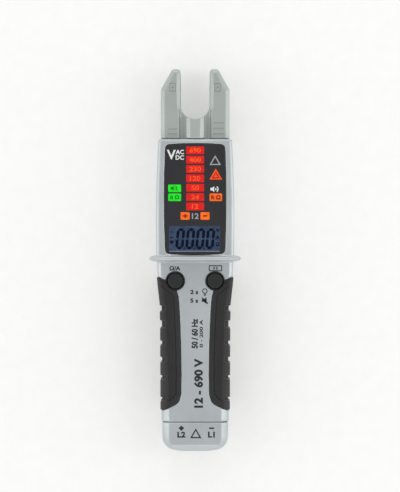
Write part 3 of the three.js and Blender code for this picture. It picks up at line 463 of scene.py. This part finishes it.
def lit_box(name, node, width, materials, slot, draw):
    """A lit field over its lamp, with a sign on it."""
    at = middle_of(node)
    field, sign = materials
    window_field = filled([rounded_box(at.x, at.y, width, FIELD_HEIGHT, FIELD_CORNER)])
    printed(name, [window_field], WINDOW_TOP, field)
    printed(name + "_sign", [draw(at)], WINDOW_TOP + INK, sign)


def minus_sign(at, size=2.6, stroke=0.9):
    """A minus as a plain bar."""
    return filled([rounded_box(at.x, at.y, size, stroke, 0.1)])


def plus_sign(at, size=2.8, stroke=0.9):
    """A plus as one outline round both strokes."""
    a, b = size / 2, stroke / 2
    outline = [(b, b), (b, a), (-b, a), (-b, b), (-a, b), (-a, -b), (-b, -b), (-b, -a),
               (b, -a), (b, -b), (a, -b), (a, b)]
    return filled([[(at.x + x, at.y + y) for x, y in outline]])


WAVE_BACK, WAVE_LINE = 0.4, 0.55


def loudspeaker(at, scale=1.0):
    """A small cone with two waves, for a tone."""
    outlines = [[(-2.6, -0.7), (-1.6, -0.7), (-0.6, -1.6), (-0.6, 1.6), (-1.6, 0.7), (-2.6, 0.7)]]
    angles = [math.radians(a) for a in range(-50, 51, 20)]
    for radius in (1.0, 2.1):
        outer, inner = [
            [(r * math.cos(a) - WAVE_BACK, r * math.sin(a)) for a in angles]
            for r in (radius, radius - WAVE_LINE)]
        outlines.append(outer + inner[::-1])
    return filled([[(at.x + scale * x, at.y + scale * y) for x, y in line] for line in outlines])


def zero_ohm(at):
    """The sign of the continuity test."""
    return word("0 Ω", 2.6, at.x, at.y, squeeze=1.2, weight=0.05)


def resistance(at):
    """The sign of the resistance test."""
    return word("R Ω", 2.9, at.x, at.y, squeeze=1.1, weight=0.05)


GREENS, AMBERS = (GREEN_LIGHT, GREEN_SIGN), (AMBER_LIGHT, AMBER_SIGN)
LIT_FIELDS = (
    ("green_field_1", "green_led_1", 8.2, GREENS, "green_led", loudspeaker),
    ("green_field_2", "green_led_2", 8.2, GREENS, "green_led", zero_ohm),
    ("orange_field", "amber_led_2", 8.0, AMBERS, "amber_led", resistance),
    ("plus_field", "amber_led_3", 5.8, AMBERS, "amber_led", plus_sign),
    ("minus_field", "amber_led_4", 5.8, AMBERS, "amber_led", minus_sign),
)
for lit_field in LIT_FIELDS:
    lit_box(*lit_field)
print("green and orange fields:", len(LIT_FIELDS))

# %% [markdown]
# ### Signs on the window
# The triangles are plain, and the white signs name the voltages and the tone. The lit triangle takes
# its place from its own lamp. The others are only printed, so their places are given.

# %% Triangles and white signs
at = middle_of("amber_led_1")
lit_triangle = filled([regular(at.x, at.y - 1.1, 4.7, 3)])
printed("orange_triangle", [lit_triangle], WINDOW_TOP, TRIANGLE_LIGHT)
inner_triangle = triangle_line(at.x, at.y - 1.2, 2.9, 1.9)
printed("orange_triangle_sign", [inner_triangle], WINDOW_TOP + INK, AMBER_SIGN)
grey_triangle = triangle_line(12.8, 62.9, 4.2, 2.8)
printed("grey_triangle", [grey_triangle], WINDOW_TOP, GREY_INK)
CURRENT_X, CURRENT_HEIGHT = -9.8, 2.9
white_signs = [
    word("V", 6.2, -15.2, 67.4, weight=0.02),
    word("AC", CURRENT_HEIGHT, CURRENT_X, 69.1, weight=0.03),
    word("DC", CURRENT_HEIGHT, CURRENT_X, 65.6, weight=0.03),
    loudspeaker(Vector((12.9, 45.4, 0)), 1.2),
]
printed("white_signs", white_signs, WINDOW_TOP, WHITE_INK)
twelve = word("12", 3.6, 0.1, 28.2, squeeze=1.1, weight=0.02)
printed("grey_figure", [twelve], WINDOW_TOP, GREY_INK)
print("white signs on the window:", len(white_signs))

# %% [markdown]
# ## LCD
# The LCD shows through the lower end of the window as a blue-grey field, with a faint painted glow
# though no lamp lights it. A digit is built of bars with pointed ends, leaning slightly to the right as
# on most meters. It shows four noughts with a point after each of the first three, the units at its
# right and small marks at its left.

# %% LCD digits
LCD_X, LCD_Y, LCD_WIDTH, LCD_HEIGHT, LCD_CORNER = -0.4, 13.9, 32.6, 16.0, 0.6
DIGITS = 4
DIGIT = {"width": 3.6, "height": 11.6, "stroke": 1.8, "lean": 0.1, "pitch": 6.4, "gap": 0.12}
DIGIT_X, DIGIT_Y = -11.9, 7.9
POINT_AFTER, POINT_Y, POINT_SIZE, POINT_CORNER = 5.0, 7.6, 0.9, 0.2


def segment(x0, y0, x1, y1):
    """A bar with pointed ends between two points, across or upright."""
    along = Vector((x1 - x0, y1 - y0)).normalized()
    across = Vector((-along.y, along.x)) * DIGIT["stroke"] / 2
    start = Vector((x0, y0)) + along * DIGIT["gap"]
    end = Vector((x1, y1)) - along * DIGIT["gap"]
    tip = along * DIGIT["stroke"] / 2
    return [start, start + tip + across, end - tip + across, end, end - tip - across, start + tip - across]


def zero(x, y):
    """The outlines of a nought whose lower left corner is at x and y."""
    w, h = DIGIT["width"], DIGIT["height"]
    bars = [segment(*ends) for ends in (
        (0, h, w, h), (w, h / 2, w, h), (w, 0, w, h / 2),
        (0, 0, w, 0), (0, 0, 0, h / 2), (0, h / 2, 0, h),
    )]
    return [[(x + p.x + DIGIT["lean"] * p.y, y + p.y) for p in bar] for bar in bars]


lcd_face = filled([rounded_box(LCD_X, LCD_Y, LCD_WIDTH, LCD_HEIGHT, LCD_CORNER)])
# The LCD field glows faintly as painted light.
printed("lcd_field", [lcd_face], WINDOW_TOP, LCD_FACE_PAINTED_GLOW)
bars = []
for place in range(DIGITS):
    left = DIGIT_X + place * DIGIT["pitch"]
    bars += zero(left, DIGIT_Y)
    if place < DIGITS - 1:
        bars.append(rounded_box(left + POINT_AFTER, POINT_Y, POINT_SIZE, POINT_SIZE, POINT_CORNER))
printed("lcd_digits", [filled(bars)], WINDOW_TOP + INK, LCD_SEGMENT)
print("lcd bars and points:", len(bars))

# %% LCD units and edge
UNIT_X, UNIT_HEIGHT, UNIT_WEIGHT = 14.3, 2.6, 0.05
LEFT_MARK_X = -15.0
EDGE_WIDTH, EDGE_LINE = 32.0, 0.3
units = [word(unit, UNIT_HEIGHT, UNIT_X, y, weight=UNIT_WEIGHT)
         for unit, y in (("V", 19.0), ("A", 14.6), ("Ω", 10.2))]
left_marks = [
    word("~", 0.9, LEFT_MARK_X, 18.0, weight=UNIT_WEIGHT),
    filled([rounded_box(LEFT_MARK_X, 14.6, 2.0, 0.6, 0.1)]),
    filled([regular(LEFT_MARK_X, 11.6, 1.1, 12)]),
]
printed("lcd_units", units + left_marks, WINDOW_TOP + INK, LCD_SEGMENT)
edge_y = LCD_Y - (LCD_HEIGHT + EDGE_LINE) / 2
lower_edge = filled([rounded_box(LCD_X, edge_y, EDGE_WIDTH, EDGE_LINE, 0.1)])
printed("lcd_edge", [lower_edge], WINDOW_TOP + INK, LCD_LINE)
print("lcd units and marks:", len(units) + len(left_marks))

# %% [markdown]
# ## Prints on the handle and the cap
# The marks over the buttons, the holding times, the ranges and the terminals are pad prints: a soft
# pad carries the ink onto the textured plastic, so it is dark, matte and thin. The ranges run up the
# handle, so their lines are turned by a quarter.

# %% Handle prints
def bulb(x, y):
    """A lamp bulb with its base."""
    base = [rounded_box(x, y - 1.9, 1.5, 0.5, 0.1), rounded_box(x, y - 2.6, 1.1, 0.5, 0.1)]
    return filled([regular(x, y + 0.2, 1.7, 16), regular(x, y + 0.2, 1.15, 16)] + base)


def muted_speaker(x, y):
    """A cone crossed out, for no tone."""
    cone = [(-2.0, -0.8), (-0.7, -0.8), (1.1, -2.1), (1.1, 2.1), (-0.7, 0.8), (-2.0, 0.8)]
    slash = [(-2.2, 1.7), (-1.7, 2.2), (2.2, -1.7), (1.7, -2.2)]
    return [filled([[(x + dx, y + dy) for dx, dy in outline]]) for outline in (cone, slash)]


def pause_sign(x, y):
    """Two upright bars in a frame, for a held reading."""
    frame_lines = [rounded_box(x, y, 8.6, 3.8, 0.6), rounded_box(x, y, 7.4, 2.6, 0.3)]
    bars = [rounded_box(x + dx, y, 0.8, 1.8, 0.1) for dx in (-0.9, 0.9)]
    return filled(frame_lines + bars)


BUTTON_SIGN_Y = -5.1
TIME_X, TIME_SIGN_X, MUTE_Y = -0.6, 6.2, -25.8
RANGE_Y = -46.9
handle_prints = [
    word("Ω/A", 2.9, -12.9, BUTTON_SIGN_Y, squeeze=1.15, weight=0.04),
    pause_sign(13.0, BUTTON_SIGN_Y),
    word("2 s", 2.8, TIME_X, -20.3, squeeze=1.2, weight=0.04),
    bulb(TIME_SIGN_X, -19.9),
    word("5 s", 2.8, TIME_X, MUTE_Y, squeeze=1.2, weight=0.04),
    *muted_speaker(TIME_SIGN_X, MUTE_Y),
    word("50 / 60 Hz", 4.2, -0.3, RANGE_Y, turn=90, squeeze=0.85, weight=0.045),
    word("0 - 200 A", 2.2, 3.9, RANGE_Y, turn=90, squeeze=1.6, weight=0.03),
    word("12 - 690 V", 5.9, 2.2, -78.6, turn=90, squeeze=1.06, weight=0.045),
]
printed("handle_prints", handle_prints, HANDLE_TOP, DARK_INK)
print("prints on the handle:", len(handle_prints))

# %% [markdown]
# ### Prints on the cap
# Each socket has its polarity and its name printed over it, with a plain triangle between the two.

# %% Cap prints
POLARITY_Y = -107.4
TERMINAL_HEIGHT, TERMINAL_Y = 3.8, -111.5
cap_prints = [
    plus_sign(Vector((-8.8, POLARITY_Y, 0)), 3.0, 1.3),
    minus_sign(Vector((10.5, POLARITY_Y, 0)), 3.2, 1.0),
    word("L2", TERMINAL_HEIGHT, -8.8, TERMINAL_Y, squeeze=1.1, weight=0.045),
    word("L1", TERMINAL_HEIGHT, 10.4, TERMINAL_Y, squeeze=1.1, weight=0.045),
    triangle_line(0.4, -111.7, 4.2, 2.6),
]
printed("cap_prints", cap_prints, HANDLE_TOP, DARK_INK)
print("prints on the cap:", len(cap_prints))

# %% [markdown]
# ## Raised marks on the fork
# A frame with a dot on each prong and short ribs beside the ridge stand out of the mould. They are
# too fine for the relaxed skin, so they are drawn again as plates, almost as high as in the CAD.
# Their edges catch less light than the face, so their colour is a little darker.

# %% Fork marks
FORK_TOP = 31.0
MARK_RISE, MARK_LINE = 0.28, 0.5
MARK_X, MARK_Y = 14.4, 110.7
MARK_WIDTH, MARK_HEIGHT, MARK_DOT = 4.4, 5.4, 0.7
marks = []
for x in (-MARK_X, MARK_X):
    marks += [
        rounded_box(x, MARK_Y, MARK_WIDTH, MARK_HEIGHT, 0.2),
        rounded_box(x, MARK_Y, MARK_WIDTH - 2 * MARK_LINE, MARK_HEIGHT - 2 * MARK_LINE, 0.1),
        regular(x, MARK_Y, MARK_DOT, 12),
    ]
marks += [rounded_box(-MARK_X, y, 6.0, MARK_LINE, 0.1) for y in (84.0, 81.0)]
marks += [rounded_box(15.0, y, 7.2, MARK_LINE, 0.1) for y in (88.0, 84.5, 81.0)]
fork_plates = filled(marks, MARK_RISE)
# The plates take the darker colour as painted shade.
printed("fork_marks", [fork_plates], FORK_TOP + MARK_RISE / 2, FORK_MARKS_PAINTED_SHADE)
print("raised marks:", len(marks))

# %% [markdown]
# ## Inner and metal pieces
# What the case hides, and the screws and sockets, keep their CAD shape, and take a finish by their
# slot in the record: plated steel, brass, enamelled copper, ferrite, circuit board, moulded parts and
# lacquer. A turned piece has fine rings from the lathe, about a quarter of a millimetre apart.

# %% Finishes for the CAD pieces
TURNING_MM = 0.25
FINE_RELIEF_MM = 0.01


def plated_metal(name, dark, light, rough):
    """Plated or turned metal, with fine marks drawn out along one axis."""
    return finish(name, dark, light, rough, TURNING_MM, tone_mm=3, stretch=(1, 1, 0.2), Metallic=1.0)


def plain_moulding(name, dark, light, rough, texture_mm=0.4):
    """A moulded or lacquered piece with a fine texture."""
    return finish(name, dark, light, rough, texture_mm, FINE_RELIEF_MM, 4 * texture_mm, IOR=1.5)


FINISHES = {
    "silver_plastic": SILVER_ABS,
    "fork_plastic": FORK_ABS,
    "grip_rubber": GRIP_RUBBER,
    "button_rubber": BUTTON_RUBBER,
    "black_panel": SMOKED_ACRYLIC,
    "white_plastic": plain_moulding("white_polycarbonate", "d8d8d2", "e6e6e2", 0.4),
    "black_plastic": plain_moulding("black_abs", "17171a", "202023", 0.5),
    "lcd_glass": plain_moulding("lcd_glass", "46506a", "505b78", 0.12, 3),
    "board_green": plain_moulding("solder_mask", "16482b", "215f3b", 0.35, 1.2),
    "chip_black": plain_moulding("moulding_compound", "1c1c1d", "252527", 0.45),
    "ferrite": plain_moulding("sintered_ferrite", "34312f", "42403d", 0.7, 0.3),
    "copper": plated_metal("enamelled_copper", "8f4f2c", "b06a40", 0.32),
    "brass": plated_metal("turned_brass", "b08f48", "cdae66", 0.28),
    "steel": plated_metal("zinc_plated_steel", "a3a6a9", "c4c7ca", 0.3),
    "red_led": plain_moulding("red_epoxy", "b81d15", "d8261c", 0.25, 1),
    "green_led": plain_moulding("green_epoxy", "1aa824", "22cc2c", 0.25, 1),
    "amber_led": plain_moulding("amber_epoxy", "c9551a", "e56a22", 0.25, 1),
    "clear_plastic": plain_moulding("clear_polycarbonate", "dfe4e6", "eef2f3", 0.08, 2),
    "resistor_blue": plain_moulding("blue_lacquer", "3f7098", "5585ad", 0.35, 0.8),
    "battery_jacket": plain_moulding("shrink_sleeve", "5d6166", "74787d", 0.3, 5),
}
for part in frame["record"]["subparts"]:
    mesh = frame["nodes"][part["node"]].data
    mesh.materials.clear()
    mesh.materials.append(FINISHES[part["material_slot"]])

# %% [markdown]
# ## Light table
# The tester lies on a light table: opal acrylic, lit from below, large enough that its edge never
# shows. Its own light adds to what it reflects, which keeps the shadows pale. Its underside is clear,
# so that the tester's back can be looked at through it.

# %% Light table
HALF_TABLE = 3.0
TABLE_DROP = 0.05 * MM
corners = [(x * HALF_TABLE, y * HALF_TABLE, 0) for x, y in ((-1, -1), (1, -1), (1, 1), (-1, 1))]
table_mesh = bpy.data.meshes.new("light_table")
table_mesh.from_pydata(corners, [], [(0, 1, 2, 3)])
opal_acrylic = finish(
    "opal_acrylic", "bdbdbc", "c0c0bf", 0.7, 2, tone_mm=8, IOR=1.49,
    Emission_Color=srgb("f9f9f8"), Emission_Strength=0.38)
sheet = opal_acrylic.node_tree
underside = add(sheet, "ShaderNodeNewGeometry").outputs["Backfacing"]
clear = add(sheet, "ShaderNodeBsdfTransparent").outputs["BSDF"]
opal = sheet.nodes["Principled BSDF"].outputs["BSDF"]
# The mix takes its share in socket 0 and the two surfaces in sockets 1 and 2.
surface = add(sheet, "ShaderNodeMixShader", {0: underside, 1: opal, 2: clear}).outputs["Shader"]
sheet.links.new(surface, sheet.nodes["Material Output"].inputs["Surface"])
table_mesh.materials.append(opal_acrylic)
table = bpy.data.objects.new("light_table", table_mesh)
table.location.z = -TABLE_DROP
scene.collection.objects.link(table)
print("light table, metres a side:", 2 * HALF_TABLE)
